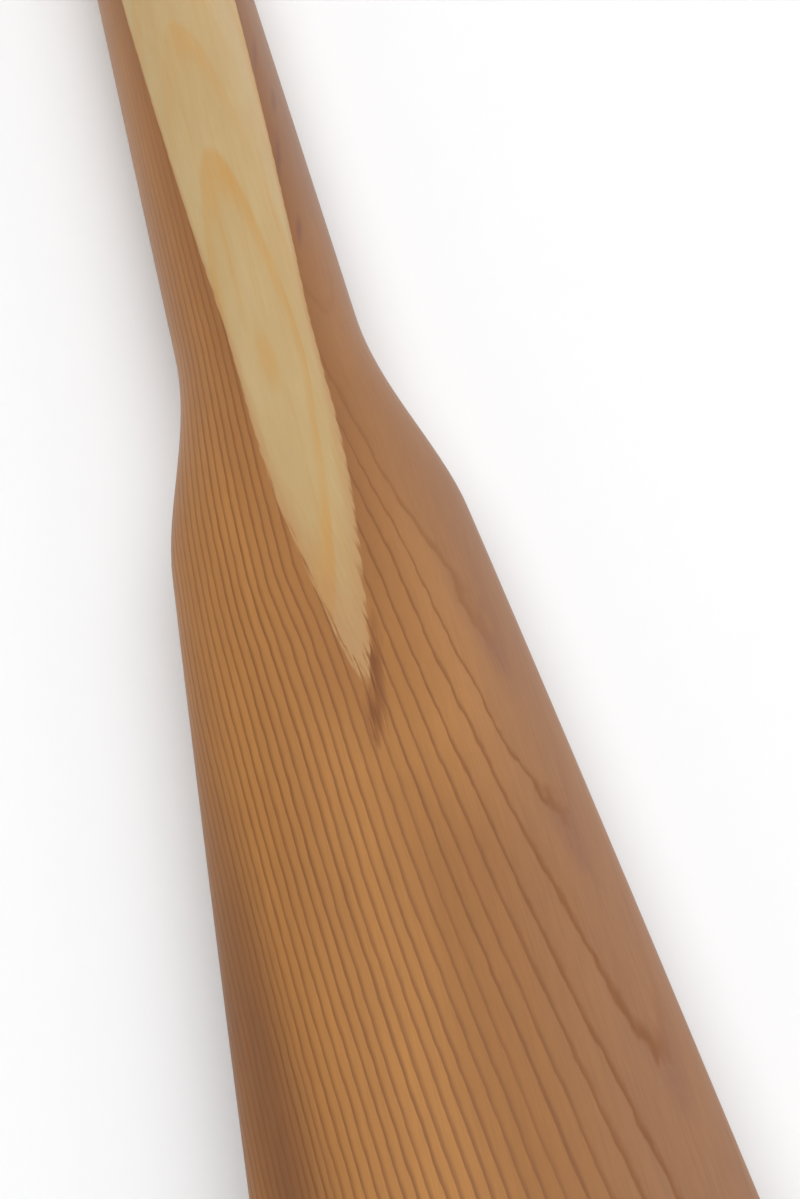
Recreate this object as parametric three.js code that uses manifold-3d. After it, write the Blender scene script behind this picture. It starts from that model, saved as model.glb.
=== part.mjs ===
// A Greenland kayak paddle of laminated wood, in millimetres.
// A cedar board runs nearly from tip to tip. A pale pine strip is glued to each face of the loom, and
// the carving runs each strip out to a feather edge on the blade roots. A hardwood tip closes each blade,
// held by a spline hidden in the joint.
// +X runs along the paddle, +Y across the blades and +Z out of the front face. The origin is the middle.
import * as THREE from "three";
import { ParametricGeometry } from "three/addons/geometries/ParametricGeometry.js";
import { mergeVertices } from "three/addons/utils/BufferGeometryUtils.js";
import Module from "manifold-3d";

const paddleLength = 2180;
const loomLength = 530; // from shoulder to shoulder, where the hands hold it
const loomWidth = 38;
const shoulderLength = 65; // over which the loom widens into the blade
const rootWidth = 56; // of the blade, just past its shoulder
const bladeWidth = 89;
const fullWidthLength = 100; // the end stretch of a blade that keeps its full width
const tipRound = 38; // how much of a blade's end is rounded off, seen from the front
const boardThickness = 19; // the cedar
const stripThickness = 6.35; // each pale strip
const tipThickness = 7.8; // a blade's crown, just before its end
const planedLength = 76; // the middle of a strip, left flat as it came from the planer
const featherX = 381; // where the carved face meets the glue line and the strip ends
const loomCurve = 1.5; // powers that shape how the crown leaves the level stretch at the feather edge
const bladeCurve = 1.25;
const bladeEdgeSharpness = 1.2; // 1 is an ellipse, and more is a thinner edge
const tipPieceLength = 30;
const splineDepth = 16; // half of it in the board and half in the tip
const splineWidth = 44;
const splineThickness = 2.4;

const endX = paddleLength / 2;
const shoulderX = loomLength / 2;
const rootX = shoulderX + shoulderLength;
const jointX = endX - tipPieceLength;
const blankThickness = boardThickness + 2 * stripThickness;
const around = 32;
const margin = 10; // how far a cutting box reaches past the wood

const wasm = await Module();
wasm.setup();

// Half the blade's width, as if the blade ran on into the loom.
function bladeHalfWidth(x) {
  const toFullWidth = (endX - fullWidthLength - x) / (endX - fullWidthLength - rootX);
  return bladeWidth / 2 - ((bladeWidth - rootWidth) / 2) * Math.max(0, toFullWidth) ** 2;
}

// How far the shoulder has turned the loom into the blade, from 0 to 1.
function bladeShare(x) {
  return THREE.MathUtils.smoothstep(x, shoulderX, rootX);
}

function halfWidth(x) {
  return THREE.MathUtils.lerp(loomWidth / 2, bladeHalfWidth(x), bladeShare(x));
}

// Half the thickness at the crown. It falls from the strip's planed face to the glue line, where the strip
// feathers out and the crown runs level, and then tapers to the end of the blade.
function halfThickness(x) {
  const toFeather = Math.max(0, featherX - x) / (featherX - planedLength / 2);
  const pastFeather = Math.max(0, x - featherX) / (endX - featherX);
  const loomRise = stripThickness * toFeather ** loomCurve;
  const bladeDrop = ((boardThickness - tipThickness) / 2) * pastFeather ** bladeCurve;
  return boardThickness / 2 + loomRise - bladeDrop;
}

// How much of the section is left at x as the blade's end rounds off, from 1 to 0.
function endShare(x) {
  const intoRound = Math.max(0, (x - endX + tipRound) / tipRound);
  return Math.sqrt(Math.max(0, 1 - intoRound ** 2));
}

// A point on the carved surface: x along the paddle, turn from 0 to 1 round the section.
function carvedPoint(x, turn, target) {
  const reach = Math.abs(x);
  const angle = 2 * Math.PI * turn;
  const share = endShare(reach);
  const edge = THREE.MathUtils.lerp(1, bladeEdgeSharpness, bladeShare(reach));
  const rise = Math.abs(share * Math.sin(angle)) ** edge * Math.sign(Math.sin(angle));
  target.set(x, halfWidth(reach) * share * Math.cos(angle), halfThickness(reach) * rise);
}

// Places from one x to another, without the last.
function steps(from, to, count) {
  return Array.from({ length: count }, (_, i) => THREE.MathUtils.lerp(from, to, i / count));
}

// The rings from the middle to one end: close together where the shape turns quickly.
function ringPlaces() {
  const roundStart = endX - tipRound;
  const quarter = Array.from({ length: 8 }, (_, i) => (Math.PI / 2) * (i / 7));
  const onRound = quarter.map((angle) => roundStart + tipRound * Math.sin(angle));
  return [
    ...steps(0, shoulderX, 8),
    ...steps(shoulderX, rootX, 8),
    ...steps(rootX, roundStart, 14),
    ...onRound,
  ];
}

function carvedGeometry() {
  const half = ringPlaces();
  const places = [...half.slice(1).reverse().map((x) => -x), ...half];
  const rings = places.length - 1;
  const surface = (u, v, target) => carvedPoint(places[Math.round(v * rings)], u % 1, target);
  return new ParametricGeometry(surface, around, rings);
}

function boxBetween(low, high) {
  const size = new THREE.Vector3().subVectors(high, low);
  const middle = new THREE.Vector3().addVectors(low, high).multiplyScalar(0.5);
  return new THREE.BoxGeometry(size.x, size.y, size.z).translate(middle.x, middle.y, middle.z);
}

// A slab as wide as the blade, between two x and two z.
function slab(lowX, highX, lowZ, highZ) {
  const reach = bladeWidth / 2 + margin;
  return boxBetween(new THREE.Vector3(lowX, -reach, lowZ), new THREE.Vector3(highX, reach, highZ));
}

function solid(geometry) {
  const bare = geometry.clone();
  bare.deleteAttribute("normal");
  bare.deleteAttribute("uv");
  const merged = mergeVertices(bare, 1e-3);
  const vertProperties = merged.getAttribute("position").array;
  const triVerts = new Uint32Array(merged.index.array);
  return new wasm.Manifold(new wasm.Mesh({ numProp: 3, vertProperties, triVerts }));
}

function geometryOf(body) {
  const { vertProperties, triVerts } = body.getMesh();
  const geometry = new THREE.BufferGeometry();
  geometry.setAttribute("position", new THREE.BufferAttribute(vertProperties, 3));
  geometry.setIndex(new THREE.BufferAttribute(triVerts, 1));
  return geometry;
}

const cedar = new THREE.MeshStandardMaterial({ color: 0xa8723f, roughness: 0.5, metalness: 0 });
const pine = new THREE.MeshStandardMaterial({ color: 0xc4a87a, roughness: 0.48, metalness: 0 });
const ash = new THREE.MeshStandardMaterial({ color: 0xb79668, roughness: 0.45, metalness: 0 });

const paddle = new THREE.Group();

function addPiece(name, geometry, material) {
  const mesh = new THREE.Mesh(geometry, material);
  mesh.name = name;
  paddle.add(mesh);
}

const carved = solid(carvedGeometry());
const gluePlane = boardThickness / 2;
const facePlane = blankThickness / 2;

function splineGeometry(side) {
  const geometry = new THREE.BoxGeometry(splineDepth, splineWidth, splineThickness);
  return geometry.translate(side * jointX, 0, 0);
}

function addBoard() {
  const board = carved.intersect(solid(slab(-jointX, jointX, -gluePlane, gluePlane)));
  const slotted = board.subtract(solid(splineGeometry(-1))).subtract(solid(splineGeometry(1)));
  addPiece("core_board", geometryOf(slotted), cedar);
}

function addStrip(name, lowZ, highZ) {
  const strip = carved.intersect(solid(slab(-endX, endX, lowZ, highZ)));
  addPiece(name, geometryOf(strip), pine);
}

function addTip(name, side) {
  const [lowX, highX] = side > 0 ? [jointX, endX + margin] : [-endX - margin, -jointX];
  const end = carved.intersect(solid(slab(lowX, highX, -gluePlane, gluePlane)));
  const tip = end.subtract(solid(splineGeometry(side)));
  addPiece(name + "_blade_tip", geometryOf(tip), ash);
  addPiece(name + "_tip_spline", splineGeometry(side), ash);
}

addBoard();
addStrip("front_loom_strip", gluePlane, facePlane);
addStrip("back_loom_strip", -facePlane, -gluePlane);
addTip("left", -1);
addTip("right", 1);

export default paddle;
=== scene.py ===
import math

import bpy
from mathutils import Matrix, Vector


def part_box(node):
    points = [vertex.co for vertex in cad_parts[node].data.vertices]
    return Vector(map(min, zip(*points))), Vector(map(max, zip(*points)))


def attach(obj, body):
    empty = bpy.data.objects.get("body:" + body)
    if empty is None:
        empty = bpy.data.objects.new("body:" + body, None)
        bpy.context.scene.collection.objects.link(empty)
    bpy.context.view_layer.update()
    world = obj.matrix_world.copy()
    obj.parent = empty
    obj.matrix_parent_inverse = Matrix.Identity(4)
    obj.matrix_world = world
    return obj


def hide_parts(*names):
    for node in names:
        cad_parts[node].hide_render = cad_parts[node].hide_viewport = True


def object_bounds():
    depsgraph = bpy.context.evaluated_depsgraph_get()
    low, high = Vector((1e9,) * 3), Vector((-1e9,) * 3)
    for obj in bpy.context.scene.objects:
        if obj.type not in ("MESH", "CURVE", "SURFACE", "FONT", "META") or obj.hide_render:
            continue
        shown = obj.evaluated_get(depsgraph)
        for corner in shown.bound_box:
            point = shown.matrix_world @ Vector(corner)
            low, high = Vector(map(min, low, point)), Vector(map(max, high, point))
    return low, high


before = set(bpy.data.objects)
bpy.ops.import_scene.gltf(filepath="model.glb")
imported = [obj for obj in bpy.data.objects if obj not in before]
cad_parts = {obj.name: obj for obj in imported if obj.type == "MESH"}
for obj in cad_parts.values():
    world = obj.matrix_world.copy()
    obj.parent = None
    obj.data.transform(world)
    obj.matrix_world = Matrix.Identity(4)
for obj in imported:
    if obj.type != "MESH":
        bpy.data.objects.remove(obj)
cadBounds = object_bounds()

# Lengths are metres, except inside the wood figures, which count in millimetres.
boardLow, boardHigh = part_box("core_board")
splineLow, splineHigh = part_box("right_tip_spline")
wholeLow, wholeHigh = cadBounds
print("frame loaded, paddle length", round(wholeHigh[0] - wholeLow[0], 3))


class Wire:  # one output socket, on which sums can be written

    def __init__(self, bench, socket):
        self.bench = bench
        self.socket = socket

    def sums(self, operation, *values):
        return self.bench.add("ShaderNodeMath", {"operation": operation}, dict(enumerate(values)))

    def __add__(self, other):
        return self.sums("ADD", self, other)

    def __radd__(self, other):
        return self.sums("ADD", other, self)

    def __sub__(self, other):
        return self.sums("SUBTRACT", self, other)

    def __rsub__(self, other):
        return self.sums("SUBTRACT", other, self)

    def __mul__(self, other):
        return self.sums("MULTIPLY", self, other)

    def __rmul__(self, other):
        return self.sums("MULTIPLY", other, self)

    def __truediv__(self, other):
        return self.sums("DIVIDE", self, other)

    def __rtruediv__(self, other):
        return self.sums("DIVIDE", other, self)

    def __pow__(self, other):
        return self.sums("POWER", self, other)

    def __neg__(self):
        return self.sums("MULTIPLY", self, -1)

    def __gt__(self, other):
        return self.sums("GREATER_THAN", self, other)

    def root(self):
        return self.sums("SQRT", self)

    def size(self):
        return self.sums("ABSOLUTE", self)

    def sign(self):
        return self.sums("SIGN", self)

    def sine(self):
        return self.sums("SINE", self)

    def cosine(self):
        return self.sums("COSINE", self)

    def arccosine(self):
        return self.sums("ARCCOSINE", self)

    def whole(self):
        return self.sums("FLOOR", self)

    def part(self):
        return self.sums("FRACT", self)

    def atMost(self, other):
        return self.sums("MINIMUM", self, other)

    def atLeast(self, other):
        return self.sums("MAXIMUM", self, other)

    def clipped(self):
        return self.atLeast(0).atMost(1)

    def eased(self, low, high):  # 0 below low, 1 above high and smooth between
        share = ((self - low) / (high - low)).clipped()
        return share * share * (3 - 2 * share)

    def output(self, name):
        return Wire(self.bench, self.socket.node.outputs[name])


class Bench:  # adds nodes to one tree

    def __init__(self, tree):
        self.tree = tree

    def add(self, kind, settings=None, sockets=None):
        node = self.tree.nodes.new(kind)
        for name, value in (settings or {}).items():
            setattr(node, name, value)
        for name, value in (sockets or {}).items():
            if isinstance(value, Wire):
                self.tree.links.new(value.socket, node.inputs[name])
            else:
                node.inputs[name].default_value = value
        shown = [socket for socket in node.outputs if socket.enabled]
        return Wire(self, shown[0]) if shown else Wire(self, None)

    def mixColour(self, share, first, second, blend="MIX"):
        settings = {"data_type": "RGBA", "blend_type": blend, "clamp_factor": True}
        return self.add("ShaderNodeMix", settings, {0: share, 6: first, 7: second})

    def noise(self, place, scale, detail=2.0, roughness=0.5):
        sockets = {"Vector": place, "Scale": scale, "Detail": detail, "Roughness": roughness}
        return self.add("ShaderNodeTexNoise", {"noise_dimensions": "3D"}, sockets) - 0.5

    def grain(self, x, y, z, size, detail=3):  # noise drawn out along the wood
        length, width = size
        return self.noise(self.vector(x / length, y / width, z / width), 1.0, detail)

    def noiseAlong(self, value, scale, detail=1.0):
        sockets = {"W": value, "Scale": scale, "Detail": detail}
        return self.add("ShaderNodeTexNoise", {"noise_dimensions": "1D"}, sockets) - 0.5

    def vector(self, x, y, z):
        return self.add("ShaderNodeCombineXYZ", None, {0: x, 1: y, 2: z})


def linear(red, green, blue):  # a colour from its usual 0 to 255 values
    def channel(value):
        share = value / 255
        return share / 12.92 if share <= 0.04045 else ((share + 0.055) / 1.055) ** 2.4
    return (channel(red), channel(green), channel(blue), 1)


cedarWood = {  # millimetres along the board (x), across it (y) and through it (z)
    "pithY": 93.2, "pithZ": 159.7, "measuredAtX": 420,  # where the log's heart lay, off the front face
    "runoutY": 0.0666, "runoutZ": 0.0073,  # how the heart wanders along the board
    "bendX": 359.4, "bendSoftness": 12, "bendSlope": 0.0861,  # the swerve of the grain past the shoulder
    "straightX": 560, "straightSoftness": 30, "straightSlope": 0.05,
    "swellX": (343, 366), "swellFallX": (376, 430), "swellY": -8, "swellWidth": 20, "swellHeight": 1.5,
    "shoulderX": 350, "loomX": 262, "shoulderSoftness": 6, "shoulderSlope": 0.042, "shoulderY": (-2, 10),
    "firstRing": 168.78, "ringPitch": 1.19,
    "crowdedRings": (-1.2, 0.6), "crowding": 0.35,  # a few narrow years
    "slowRing": 20.5, "slowSoftness": 1.5, "slowness": 0.32,  # years of slower growth
    "waveSize": (45, 9), "waveHeight": 0.42, "rippleSize": (6, 2), "rippleHeight": 0.3,
    "yearSpread": 0.3, "spreadScale": 0.6,
    "lateShare": 0.78, "lateShareDrop": 0.28, "dropYears": 12,  # late wood fills more of the later years
    "lateDark": 0.92, "lateEnd": 0.94, "yearScale": 3.1, "lineStrength": 0.78,
    "bladeX": (160, 285), "loomLines": 0.25,  # the lines grow faint on the loom
    "valleyX": 350, "valleyY": 22.4, "valleySlope": 0.057,  # where the cut runs flat to the rings
    "valleyWidth": 3.6, "valleyStart": (325, 350), "pastValley": (-2.5, 1.5), "pastValleyX": (280, 330),
    "patchSize": (90, 14), "fibreSize": (14, 0.35), "fleckSize": (5, 0.9), "grainStrength": 0.16,
    "brownY": 14, "brownWidth": 20, "brownX": (385, 430), "loomFade": (200, 300),
    "streakX": 460, "streakY": -28.2, "streakSlope": 0.03, "streakWidth": 9, "streakStrength": 0.75,
    "streakStart": (325, 450), "streakEnd": (520, 700),
    "darkStreaks": ((212, 12.6, 14), (167, 14.3, 12), (242, 12.2, 8), (186, 15.5, 8)),  # x, y and reach
    "darkSlope": 0.13, "darkWidth": 0.7, "darkStrength": 0.85,
    "shadeX": (250, 400), "shadeY": (0, 8),
    "stainDepth": 1.4, "stainStrength": 0.3, "stainX": (372, 400),  # glue drawn into the wood by the strips
    "smudgeX": 377, "smudgeY": 2.7, "smudgeReach": 17, "smudgeWidth": 1.6, "smudgeSlope": 0.15,
    "smudgeStrength": 0.75, "prongX": 387, "prongY": 0.4, "prongReach": 7, "prongWidth": 1.5,
    "prongStrength": 0.5,
    "jointLine": (0.05, 0.16), "jointStrength": 0.7,
    # the pink colour is painted sheen and shade for the board's +Y side, not a colour of the wood
    "pale": linear(177, 120, 55), "tan": linear(150, 97, 40), "paintedSheenShade": linear(141, 100, 72),
    # the streak colour is both a dark streak in the wood and the painted shade on the loom
    "purple": linear(122, 80, 64), "lateWood": linear(120, 67, 12), "streak": linear(104, 64, 38),
    "glueStain": linear(118, 64, 6), "roughness": 0.46,
}

pineWood = {
    "pithY": -0.5, "pithZ": -3.7, "dropX": 286, "dropSoftness": 9, "dropSlope": 0.029, "driftSlope": 0.02,
    "firstRing": 15.5, "ringPitch": 1.17, "waveSize": (55, 7), "waveHeight": 0.12,
    "lateStart": (0.5, 0.85), "lateEnd": (0.9, 1.0),
    "yearDark": 0.42, "islandPale": 0.36, "archDark": 0.35, "archWidth": 6,
    # the side colour and the band where it falls paint a sheen along the strip's +Y border
    "patchSize": (40, 6), "fibreSize": (12, 0.4), "grainStrength": 0.07, "paintedSheenY": (5, 12),
    "pale": linear(186, 160, 112), "cream": linear(180, 149, 97), "side": linear(184, 158, 120),
    "lateWood": linear(186, 138, 66), "thinTint": linear(170, 124, 76),
    "thinFrom": 0.3, "thinStrength": 0.8,  # where the strip is thin, the cedar tints it
    "featherThickness": 0.07, "tipThickness": 0.014, "tipX": (350, 370), "ragHeight": 0.2, "ragFrom": 0.03,
    "roughness": 0.44,
}

ashWood = {
    "pithX": -70, "pithZ": -38, "skew": 0.03, "ringPitch": 2.1, "waveHeight": 0.5,
    "lateStart": (0.4, 0.9), "lateEnd": (0.94, 1.0), "lateStrength": 0.7,
    "poreSize": (0.16, 0.24), "poreYears": (0.5, 0.9), "poreStrength": 0.6, "grainStrength": 0.1,
    "pale": linear(198, 170, 128), "lateWood": linear(160, 122, 78), "pore": linear(112, 80, 48),
    "roughness": 0.42,
}

finish = {"IOR": 1.46, "bumpDepth": 0.00006}  # of the oil on every piece


def startMaterial(name):
    material = bpy.data.materials.new(name)
    material.use_nodes = True
    material.node_tree.nodes.clear()
    bench = Bench(material.node_tree)
    place = bench.add("ShaderNodeTexCoord").output("Object")
    scaled = bench.add("ShaderNodeVectorMath", {"operation": "SCALE"}, {0: place, "Scale": 1000})
    parts = bench.add("ShaderNodeSeparateXYZ", None, {0: scaled})
    return material, bench, (parts.output("X"), parts.output("Y"), parts.output("Z"))


def finishMaterial(bench, colour, roughness, height):
    sockets = {"Height": height, "Strength": 1.0, "Distance": finish["bumpDepth"]}
    bump = bench.add("ShaderNodeBump", None, sockets)
    sockets = {"Base Color": colour, "Roughness": roughness, "Normal": bump, "IOR": finish["IOR"]}
    surface = bench.add("ShaderNodeBsdfPrincipled", None, sockets)
    bench.add("ShaderNodeOutputMaterial", None, {"Surface": surface})


def hockey(value, softness):  # near 0 below 0 and near the value above it
    return ((value * value + softness * softness).root() + value) / 2


def near(value, reach):  # 1 where the value is 0, falling to 0 at the reach
    return (1 - value.size() / reach).clipped()


def blot(along, across):  # 1 in the middle of an ellipse and 0 outside it
    return (1 - along * along - across * across).clipped()


def addGrain(bench, colour, strength, share):  # fibres lighten and darken the wood
    grey = bench.mixColour(share.clipped(), (0, 0, 0, 1), (1, 1, 1, 1))
    return bench.mixColour(strength, colour, grey, "OVERLAY")


def cedarYears(bench, x, y, z):  # the years between a point and the first ring
    wood = cedarWood
    along = x - wood["measuredAtX"]
    bend = wood["bendSlope"] * hockey(wood["bendX"] - x, wood["bendSoftness"])
    straightened = wood["straightSlope"] * hockey(x - wood["straightX"], wood["straightSoftness"])
    swell = x.eased(*wood["swellX"]) * (1 - x.eased(*wood["swellFallX"])) * wood["swellHeight"]
    swell = swell * near(y - wood["swellY"], wood["swellWidth"])
    awayY = y - swell - (along * wood["runoutY"] + bend - straightened + wood["pithY"])
    awayZ = z - (along * wood["runoutZ"] + wood["pithZ"])
    waves = wood["waveHeight"] * bench.grain(x, y, z, wood["waveSize"], 2)
    ripples = wood["rippleHeight"] * bench.grain(x, y, z, wood["rippleSize"], 2)
    softness = wood["shoulderSoftness"]
    swerve = hockey(wood["shoulderX"] - x, softness) - hockey(wood["loomX"] - x, softness)
    swerve = swerve * wood["shoulderSlope"] * y.eased(*wood["shoulderY"])
    radius = (awayY * awayY + awayZ * awayZ).root() + waves + ripples - swerve
    even = (radius - wood["firstRing"]) / wood["ringPitch"]
    crowded = wood["crowding"] * even.eased(*wood["crowdedRings"])
    years = even + crowded + wood["slowness"] * hockey(even - wood["slowRing"], wood["slowSoftness"])
    return years + wood["yearSpread"] * bench.noiseAlong(years, wood["spreadScale"])


def cedarLines(bench, x, y, years, fromValley):  # how dark the growth lines are
    wood = cedarWood
    age = years.part()  # through one year's growth, from spring to autumn
    lateStart = wood["lateShare"] - wood["lateShareDrop"] * (years / wood["dropYears"]).clipped()
    late = age.eased(lateStart, wood["lateDark"]) * (1 - age.eased(wood["lateEnd"], 1))
    yearDark = 0.85 + 0.9 * bench.noiseAlong(years.whole() + 0.37, wood["yearScale"])
    onBlade = (x.size() - 1.5 * y - 5 * y.atLeast(0)).eased(*wood["bladeX"])
    shown = wood["loomLines"] + (1 - wood["loomLines"]) * onBlade
    shown = shown * (1 - 0.75 * fromValley.eased(*wood["pastValley"]) * x.eased(*wood["pastValleyX"]))
    return ((late * yearDark * 0.95 + age.eased(0.2, 0.9) * 0.14) * shown).clipped()


def cedarStain(x, y, z, onLoom, fibre, fleck):  # glue round the strips, and the smudge past their points
    wood = cedarWood
    depth = (boardHigh.z * 1000 - z.size()).atLeast(0)
    soaked = (1 - depth / (wood["stainDepth"] * (1 + onLoom))).clipped()
    soaked = soaked * (wood["stainStrength"] + onLoom * 0.2)
    fromSmudge = x.size() - wood["smudgeX"]
    along = fromSmudge / wood["smudgeReach"] + fleck * 0.8
    across = (y - wood["smudgeY"] + fromSmudge * wood["smudgeSlope"]) / (wood["smudgeWidth"] + along * 0.5)
    smudge = blot(along, across + fibre * 2.4) * wood["smudgeStrength"]
    along = (x.size() - wood["prongX"]) / wood["prongReach"] + fleck
    across = (y - wood["prongY"]) / wood["prongWidth"] + fibre * 2.4
    smudge = smudge + blot(along, across) * wood["prongStrength"]
    soaked = soaked * (1 - x.size().eased(*wood["stainX"]))
    return ((soaked + smudge) * (0.9 + fibre * 1.2)).clipped()


def cedarFigure(bench, x, y, z):
    wood = cedarWood
    years = cedarYears(bench, x, y, z)
    age = years.part()
    fromValley = y - wood["valleyY"] - (x - wood["valleyX"]) * wood["valleySlope"]
    darkness = cedarLines(bench, x, y, years, fromValley)
    patch = bench.grain(x, y, z, wood["patchSize"])
    fibre = bench.grain(x, y, z, wood["fibreSize"])
    fleck = bench.grain(x, y, z, wood["fleckSize"], 2)
    onLoom = 1 - x.size().eased(*wood["loomFade"])

    brown = near(y - wood["brownY"], wood["brownWidth"]) * x.eased(*wood["brownX"])
    colour = bench.mixColour((patch * 1.5 + 0.45 + brown * 1.1).clipped(), wood["pale"], wood["tan"])
    # painted sheen and shade: the +Y side drawn towards a greyed pink-brown, starting sooner on the loom,
    # with some random tone from the patch noise
    paintedSheenShadeShare = y.eased(3 - onLoom, 30 - 12 * onLoom) * 0.85 + patch * 0.3
    colour = bench.mixColour(paintedSheenShadeShare.clipped(), colour, wood["paintedSheenShade"])
    fromStreak = y - wood["streakY"] - (x - wood["streakX"]) * wood["streakSlope"] + patch * 5
    streak = (1 - fromStreak.size().eased(0, wood["streakWidth"])) * wood["streakStrength"]
    streak = streak * x.eased(*wood["streakStart"]) * (1 - x.eased(*wood["streakEnd"]))
    colour = bench.mixColour(streak, colour, wood["streak"])
    valley = near(fromValley, wood["valleyWidth"]) * x.eased(*wood["valleyStart"])
    flat = near(age - 0.06, 0.2) + (1 - (1 - age) / 0.12).clipped()
    colour = bench.mixColour((valley * flat * (0.5 + fleck)).clipped(), colour, wood["purple"])
    for centreX, centreY, reach in wood["darkStreaks"]:
        across = (y - centreY + (x - centreX) * wood["darkSlope"]) / wood["darkWidth"]
        across = across + fibre * 1.5 + fleck * 0.8
        dark = blot((x - centreX) / reach, across) * wood["darkStrength"]
        colour = bench.mixColour(dark, colour, wood["purple"])
    # painted shade: the loom and shoulder darkened towards the streak colour, more on the +Y side
    shade = (1 - x.size().eased(*wood["shadeX"])) * (0.1 + 0.16 * y.eased(*wood["shadeY"]))
    colour = bench.mixColour(shade, colour, wood["streak"])
    colour = bench.mixColour(darkness * wood["lineStrength"], colour, wood["lateWood"])
    colour = addGrain(bench, colour, wood["grainStrength"], 0.5 + fibre * 0.9 + fleck * 0.35)
    colour = bench.mixColour(cedarStain(x, y, z, onLoom, fibre, fleck), colour, wood["glueStain"])
    joint = 1 - (x.size() - boardHigh.x * 1000).size().eased(*wood["jointLine"])
    colour = bench.mixColour(joint * wood["jointStrength"], colour, wood["glueStain"])
    roughness = wood["roughness"] + fibre * 0.1 - darkness * 0.05
    return colour, roughness, fibre * 0.4 - darkness * 0.25


def pineFigure(bench, x, y, z):
    wood = pineWood
    beyond = hockey(x.size() - wood["dropX"], wood["dropSoftness"])
    awayY = y - wood["pithY"] + wood["driftSlope"] * beyond
    awayZ = z.size() - (wood["pithZ"] - wood["dropSlope"] * beyond)
    waves = bench.grain(x, y, z, wood["waveSize"], 2) * wood["waveHeight"]
    radius = (awayY * awayY + awayZ * awayZ).root() + waves
    years = (radius - wood["firstRing"]) / wood["ringPitch"]
    age = years.part()
    late = age.eased(*wood["lateStart"]) * (1 - age.eased(*wood["lateEnd"]))
    patch = bench.grain(x, y, z, wood["patchSize"])
    fibre = bench.grain(x, y, z, wood["fibreSize"])
    colour = bench.mixColour((patch * 2 + 0.5).clipped(), wood["pale"], wood["cream"])
    # painted sheen: the strip's +Y border drawn towards a paler, greyer colour
    colour = bench.mixColour((y.eased(*wood["paintedSheenY"]) * 0.7 + patch * 0.3).clipped(), colour, wood["side"])
    yearDark = wood["yearDark"] - wood["islandPale"] * (years.whole() + 1).size().atMost(0.7)
    yearDark = yearDark + near(awayY, wood["archWidth"]) * wood["archDark"]
    vein = bench.noise(bench.vector(x / 70, y / 1.3, z / 4), 1.0, 3)
    tone = late * (yearDark + patch * 0.8) + (vein * 1.6 - 0.05).clipped()
    colour = bench.mixColour(tone.clipped(), colour, wood["lateWood"])
    colour = addGrain(bench, colour, wood["grainStrength"], 0.5 + fibre * 0.8)
    return colour, wood["roughness"] + fibre * 0.08, fibre * 0.3


def makeCedar():
    material, bench, (x, y, z) = startMaterial("oiledCedar")
    finishMaterial(bench, *cedarFigure(bench, x, y, z))
    return material


def makePine():  # where the strip feathers out, the cedar under it shows through
    wood = pineWood
    material, bench, (x, y, z) = startMaterial("oiledPine")
    colour, roughness, height = pineFigure(bench, x, y, z)
    under, underRoughness, underHeight = cedarFigure(bench, x, y, z)
    thickness = z.size() - boardHigh.z * 1000
    rag = bench.noise(bench.vector((x + 1.5 * y) / 9, (y - 0.12 * x) / 0.6, 0), 1.0, 3) * wood["ragHeight"]
    edge = wood["featherThickness"]
    edge = edge - (edge - wood["tipThickness"]) * x.size().eased(*wood["tipX"])
    cover = ((thickness + rag * (thickness / wood["ragFrom"]).clipped()) / edge).eased(0, 1)
    thin = (1 - (thickness + rag) / wood["thinFrom"]).clipped()
    colour = bench.mixColour(thin * wood["thinStrength"], colour, wood["thinTint"])
    colour = bench.mixColour(cover, under, colour)
    roughness = underRoughness + (roughness - underRoughness) * cover
    finishMaterial(bench, colour, roughness, underHeight + (height - underHeight) * cover)
    return material


def makeAsh():  # its grain runs across the blade's end
    wood = ashWood
    material, bench, (x, y, z) = startMaterial("oiledAsh")
    inward = x.size() - boardHigh.x * 1000
    awayX = inward - wood["pithX"] + y * wood["skew"]
    awayZ = z - wood["pithZ"]
    waves = bench.noise(bench.vector(x / 9, y / 40, z / 9), 1.0, 2) * wood["waveHeight"]
    years = ((awayX * awayX + awayZ * awayZ).root() + waves) / wood["ringPitch"]
    age = years.part()
    late = age.eased(*wood["lateStart"]) * (1 - age.eased(*wood["lateEnd"]))
    fibre = bench.noise(bench.vector(x / 0.35, y / 12, z / 0.35), 1.0, 3)
    pores = bench.noise(bench.vector(x / 0.3, y / 3, z / 0.3), 1.0, 1).eased(*wood["poreSize"])
    pores = pores * (1 - age).eased(*wood["poreYears"])
    colour = bench.mixColour((late * wood["lateStrength"]).clipped(), wood["pale"], wood["lateWood"])
    colour = bench.mixColour((pores * wood["poreStrength"]).clipped(), colour, wood["pore"])
    colour = addGrain(bench, colour, wood["grainStrength"], 0.5 + fibre * 0.8)
    joint = 1 - inward.size().eased(*cedarWood["jointLine"])
    colour = bench.mixColour(joint * cedarWood["jointStrength"], colour, cedarWood["glueStain"])
    finishMaterial(bench, colour, wood["roughness"] + fibre * 0.08, fibre * 0.3 - pores * 0.5)
    return material


paddleForm = {
    "End X": wholeHigh[0], "Joint X": boardHigh.x,
    "Loom Half Width": 0.019, "Shoulder X": 0.265,
    "Root X": 0.330, "Root Half Width": 0.028,
    "Blade Half Width": wholeHigh[1], "Full Width X": wholeHigh[0] - 0.100,
    "Tip Round": 0.038, "Edge Sharpness": 1.2,
    "Glue Z": boardHigh.z, "Face Z": wholeHigh[2], "Tip Half Thickness": 0.0039,
    "Planed X": 0.038, "Feather X": 0.381,
    "Loom Curve": 1.5, "Blade Curve": 1.25,
    "Crown Shift": 0.0008,
}

meshDetail = {
    "sideCells": 36, "flatCells": 24, "stripCells": 48,
    "boardRows": 540, "stripRows": 400, "tipRows": 44,
    "leastAngle": 0.07, "angleRun": 0.12,  # how the columns spread past the feather edge
    "mergeDistance": 0.0000002, "creaseDegrees": 28,
}


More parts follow.
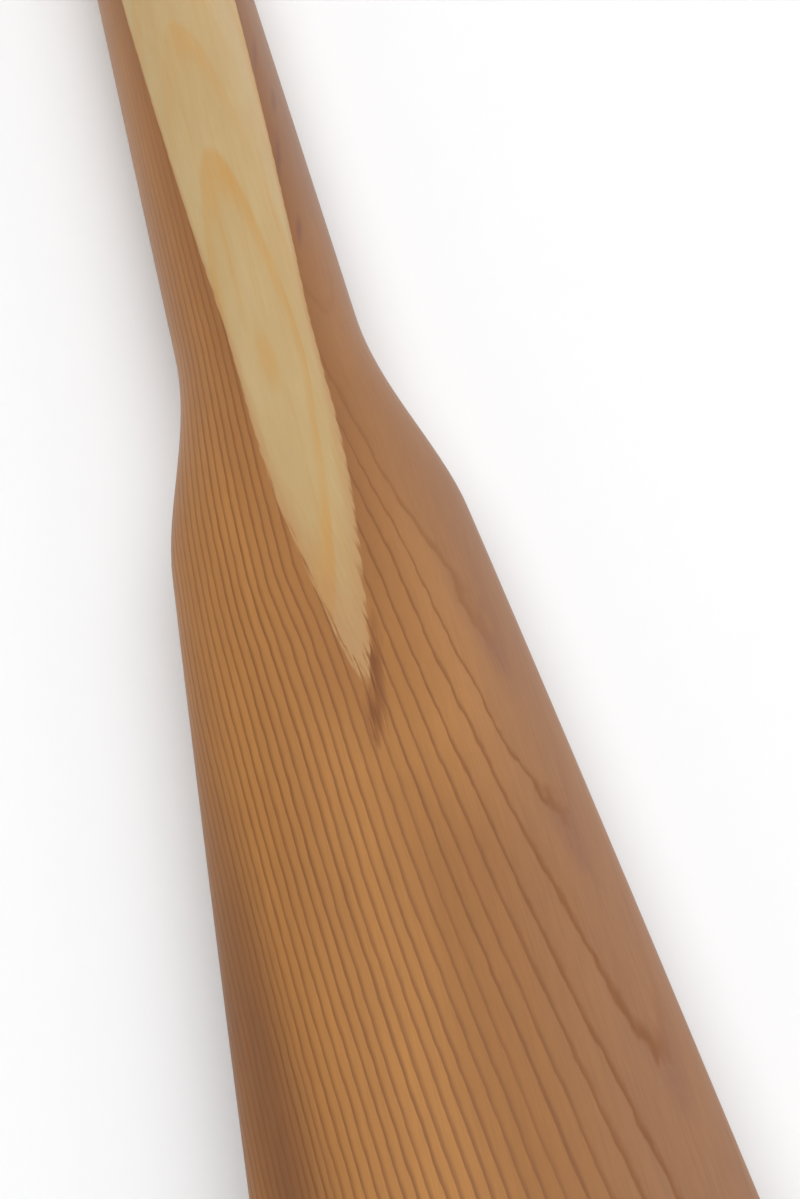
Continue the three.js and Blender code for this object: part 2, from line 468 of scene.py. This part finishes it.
def startTree(name, extraInputs):
    tree = bpy.data.node_groups.new(name, "GeometryNodeTree")
    tree.interface.new_socket(name="Geometry", in_out="OUTPUT", socket_type="NodeSocketGeometry")
    for title in [*paddleForm, *extraInputs]:
        tree.interface.new_socket(name=title, in_out="INPUT", socket_type="NodeSocketFloat")
    bench = Bench(tree)
    source = bench.add("NodeGroupInput")
    return tree, bench, {title: source.output(title) for title in [*paddleForm, *extraInputs]}


def gridCounts(bench, rows, columns):  # a grid whose x and y count its rows and columns from 0
    sockets = {"Size X": rows, "Size Y": columns, "Vertices X": rows + 1, "Vertices Y": columns + 1}
    grid = bench.add("GeometryNodeMeshGrid", None, sockets)
    place = bench.add("ShaderNodeSeparateXYZ", None, {0: bench.add("GeometryNodeInputPosition")})
    return grid, place.output("X") + rows / 2, place.output("Y") + columns / 2


def shoulderShare(form, reach):
    return reach.eased(form["Shoulder X"], form["Root X"])


def edgePower(form, reach):
    return 1 + (form["Edge Sharpness"] - 1) * shoulderShare(form, reach)


def crownHeight(form, reach):
    toFeather = (form["Feather X"] - reach).atLeast(0) / (form["Feather X"] - form["Planed X"])
    pastFeather = (reach - form["Feather X"]).atLeast(0) / (form["End X"] - form["Feather X"])
    rise = (form["Face Z"] - form["Glue Z"]) * toFeather ** form["Loom Curve"]
    drop = (form["Glue Z"] - form["Tip Half Thickness"]) * pastFeather ** form["Blade Curve"]
    return form["Glue Z"] + rise - drop


def carvedPoint(form, reach, angle):  # y and z on the carved surface
    toFull = ((form["Full Width X"] - reach) / (form["Full Width X"] - form["Root X"])).atLeast(0)
    blade = form["Blade Half Width"] - (form["Blade Half Width"] - form["Root Half Width"]) * toFull * toFull
    halfWidth = form["Loom Half Width"] + (blade - form["Loom Half Width"]) * shoulderShare(form, reach)
    intoRound = ((reach - form["End X"] + form["Tip Round"]) / form["Tip Round"]).clipped()
    left = (1 - intoRound * intoRound).root()
    sine = angle.sine()
    y = halfWidth * left * angle.cosine() + form["Crown Shift"] * sine * sine * left
    z = crownHeight(form, reach) * (left * sine).size() ** edgePower(form, reach) * sine.sign()
    return y, z


def glueAngle(form, reach):  # from the crown round to the glue line
    share = (form["Glue Z"] / crownHeight(form, reach)).atMost(1)
    return (share ** (1 / edgePower(form, reach))).arccosine()


def roundAngle(form, reach, column):  # the board's columns keep to the glue lines as far as they go
    side, flat = meshDetail["sideCells"], meshDetail["flatCells"]
    least = meshDetail["leastAngle"]
    spread = least + (1 - least) * (reach - form["Feather X"]).eased(0, meshDetail["angleRun"])
    width = glueAngle(form, reach).atLeast(spread)
    sides = (column / side).clipped() + ((column - side - flat) / side).clipped()
    flats = ((column - side) / flat).clipped() + ((column - 2 * side - flat) / flat).clipped()
    return width - math.pi / 2 + sides * (math.pi - 2 * width) + flats * 2 * width


def closeUp(bench, mesh, point, flip=None):
    moved = bench.add("GeometryNodeSetPosition", None, {"Geometry": mesh, "Position": point})
    sockets = {"Geometry": moved, "Distance": meshDetail["mergeDistance"]}
    merged = bench.add("GeometryNodeMergeByDistance", None, sockets)
    if flip is None:
        return merged
    return bench.add("GeometryNodeFlipFaces", None, {"Mesh": merged, "Selection": flip})


def cutPocket(bench, body, place):
    size = splineHigh - splineLow
    block = bench.add("GeometryNodeMeshCube", None, {"Size": tuple(size)})
    moved = bench.add("GeometryNodeTransform", None, {"Geometry": block, "Translation": place})
    settings = {"operation": "DIFFERENCE", "solver": "EXACT"}
    return bench.add("GeometryNodeMeshBoolean", settings, {"Mesh 1": body, "Mesh 2": moved})


def finishTree(bench, body, material):
    turn = bench.add("GeometryNodeInputMeshEdgeAngle")
    smooth = bench.add("GeometryNodeSetShadeSmooth", {"domain": "FACE"}, {"Geometry": body})
    sharp = turn > math.radians(meshDetail["creaseDegrees"])
    sockets = {"Geometry": smooth, "Selection": sharp, "Shade Smooth": False}
    creased = bench.add("GeometryNodeSetShadeSmooth", {"domain": "EDGE"}, sockets)
    real = bench.add("GeometryNodeRealizeInstances", None, {"Geometry": creased})
    painted = bench.add("GeometryNodeSetMaterial", None, {"Geometry": real, "Material": material})
    bench.add("NodeGroupOutput", None, {0: painted})


def boardTree(material):
    tree, bench, form = startTree("carvedBoard", [])
    rows = meshDetail["boardRows"]
    columns = 2 * (meshDetail["sideCells"] + meshDetail["flatCells"])
    grid, row, column = gridCounts(bench, rows, columns)
    x = form["Joint X"] * (((row - 1) / (rows - 2)).clipped() * 2 - 1)
    y, z = carvedPoint(form, x.size(), roundAngle(form, x.size(), column))
    z = z.atMost(form["Glue Z"]).atLeast(-form["Glue Z"])
    capped = row.atMost(1) * (rows - row).atMost(1)
    body = closeUp(bench, grid, bench.vector(x, y * capped, z * capped))
    for side in (-1, 1):
        body = cutPocket(bench, body, (side * boardHigh.x, 0, 0))
    finishTree(bench, body, material)
    return tree


def stripTree(material):
    tree, bench, form = startTree("carvedStrip", ["Side"])
    rows, top = meshDetail["stripRows"], meshDetail["stripCells"]
    grid, row, column = gridCounts(bench, rows, 2 * top)
    x = -form["Feather X"] * (row * (math.pi / rows)).cosine()
    width = glueAngle(form, x.size())
    over = (column / top).clipped()
    under = ((column - top) / top).clipped()
    topY, topZ = carvedPoint(form, x.size(), math.pi / 2 - width + 2 * width * over)
    startY, startZ = carvedPoint(form, x.size(), math.pi / 2 - width)
    isUnder = column > top + 0.5
    y = topY + (startY - topY) * under
    z = topZ.atMost(form["Face Z"]) * (1 - isUnder) + form["Glue Z"] * isUnder
    z = z.atLeast(form["Glue Z"]) * form["Side"]
    body = closeUp(bench, grid, bench.vector(x, y, z), form["Side"] > 0)
    finishTree(bench, body, material)
    return tree


def tipTree(material):
    tree, bench, form = startTree("carvedTip", ["Side"])
    rows = meshDetail["tipRows"]
    columns = 2 * (meshDetail["sideCells"] + meshDetail["flatCells"])
    grid, row, column = gridCounts(bench, rows, columns)
    roundStart = form["End X"] - form["Tip Round"]
    tipRound = paddleForm["Tip Round"]
    first = math.asin((boardHigh.x - paddleForm["End X"] + tipRound) / tipRound)
    turn = first + (math.pi / 2 - first) * ((row - 1) / (rows - 1)).clipped()
    reach = roundStart + form["Tip Round"] * turn.sine()
    y, z = carvedPoint(form, reach, roundAngle(form, reach, column))
    capped = row.atMost(1)
    place = bench.vector(reach * form["Side"], y * capped, z * capped)
    body = closeUp(bench, grid, place, -form["Side"] > 0)
    middle = bench.vector(form["Joint X"] * form["Side"], 0, 0)
    finishTree(bench, cutPocket(bench, body, middle), material)
    return tree


def carve(name, tree, node, extra=None):
    piece = bpy.data.objects.new(name, bpy.data.meshes.new(name))
    bpy.context.scene.collection.objects.link(piece)
    modifier = piece.modifiers.new("carving", "NODES")
    modifier.node_group = tree
    values = {**paddleForm, **(extra or {})}
    for socket in tree.interface.items_tree:
        if socket.in_out == "INPUT":
            modifier[socket.identifier] = float(values[socket.name])
    ready = piece.evaluated_get(bpy.context.evaluated_depsgraph_get())
    mesh = bpy.data.meshes.new_from_object(ready)
    piece.modifiers.remove(modifier)
    piece.data = mesh
    mesh.name = name
    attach(piece, "root")
    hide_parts(node)
    print(name, "made with", len(mesh.polygons), "faces")
    return piece


cedar, pine, ash = makeCedar(), makePine(), makeAsh()
print("woods ready")

carve("coreBoard", boardTree(cedar), "core_board")
strips = stripTree(pine)
carve("frontLoomStrip", strips, "front_loom_strip", {"Side": 1})
carve("backLoomStrip", strips, "back_loom_strip", {"Side": -1})
tips = tipTree(ash)
carve("leftBladeTip", tips, "left_blade_tip", {"Side": -1})
carve("rightBladeTip", tips, "right_blade_tip", {"Side": 1})

for name in ("left_tip_spline", "right_tip_spline"):
    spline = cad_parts[name]
    spline.data.materials.clear()
    spline.data.materials.append(ash)

stageValues = {
    "floorReach": 9, "sweep": 5, "wallHeight": 9, "sides": 48, "sweepSteps": 8,
    "floorColour": (0.9, 0.9, 0.905, 1), "floorRoughness": 0.9, "floorShine": 0.1, "roomLight": 0.08,
    "lens": 70, "clipStart": 0.01,
    "cameraAt": (0.6537, -0.0127, 0.2837), "aimAt": (0.3501, 0.0110, 0), "roll": -10.15,
}

softLights = {
    "skyPanel": {"at": (0.3, 1.9, 10), "aim": (0.3, 1.9, 0), "size": 20, "watts": 1700},
    "sidePanel": {"at": (0.1, 8, 5), "aim": (0.3, 0, 0), "size": 5, "watts": 50},
}


def makeFloor():  # a round floor that sweeps up into a wall far behind
    reach, sweep, sides, steps = (stageValues[key] for key in ("floorReach", "sweep", "sides", "sweepSteps"))
    turns = [math.pi / 2 * step / steps for step in range(steps + 1)]
    profile = [(reach - 1, 0)]
    profile += [(reach + sweep * math.sin(turn), sweep * (1 - math.cos(turn))) for turn in turns]
    profile.append((reach + sweep, stageValues["wallHeight"]))
    around = [2 * math.pi * side / sides for side in range(sides)]
    corners = [(radius * math.cos(turn), radius * math.sin(turn), wholeLow[2] + height)
               for radius, height in profile for turn in around]
    faces = [tuple(range(sides))]
    for ring in range(len(profile) - 1):
        for side in range(sides):
            following = (side + 1) % sides
            low, high = ring * sides, (ring + 1) * sides
            faces.append((low + side, high + side, high + following, low + following))
    mesh = bpy.data.meshes.new("floor")
    mesh.from_pydata(corners, [], faces)
    mesh.shade_smooth()
    floor = bpy.data.objects.new("floor", mesh)
    bpy.context.scene.collection.objects.link(floor)
    material = bpy.data.materials.new("paleFloor")
    material.use_nodes = True
    surface = material.node_tree.nodes["Principled BSDF"]
    surface.inputs["Base Color"].default_value = stageValues["floorColour"]
    surface.inputs["Roughness"].default_value = stageValues["floorRoughness"]
    surface.inputs["Specular IOR Level"].default_value = stageValues["floorShine"]
    mesh.materials.append(material)


def facing(start, end, roll=0):
    look = (Vector(end) - Vector(start)).to_track_quat("-Z", "Y").to_matrix()
    turned = look @ Matrix.Rotation(math.radians(roll), 3, "Z")
    return Matrix.Translation(start) @ turned.to_4x4()


def makeLights():
    for name, values in softLights.items():
        light = bpy.data.lights.new(name, "AREA")
        light.shape = "DISK"
        light.size = values["size"]
        light.energy = values["watts"]
        lamp = bpy.data.objects.new(name, light)
        lamp.matrix_world = facing(values["at"], values["aim"])
        bpy.context.scene.collection.objects.link(lamp)
    world = bpy.data.worlds.new("room")
    world.use_nodes = True
    world.node_tree.nodes["Background"].inputs["Color"].default_value = (1, 1, 1, 1)
    world.node_tree.nodes["Background"].inputs["Strength"].default_value = stageValues["roomLight"]
    bpy.context.scene.world = world


def makeCamera():
    lens = bpy.data.cameras.new("camera")
    lens.lens = stageValues["lens"]
    lens.clip_start = stageValues["clipStart"]
    camera = bpy.data.objects.new("camera", lens)
    camera.matrix_world = facing(stageValues["cameraAt"], stageValues["aimAt"], stageValues["roll"])
    bpy.context.scene.collection.objects.link(camera)
    bpy.context.scene.camera = camera


makeFloor()
makeLights()
makeCamera()
bpy.context.scene.view_settings.view_transform = "Standard"
print("stage ready")
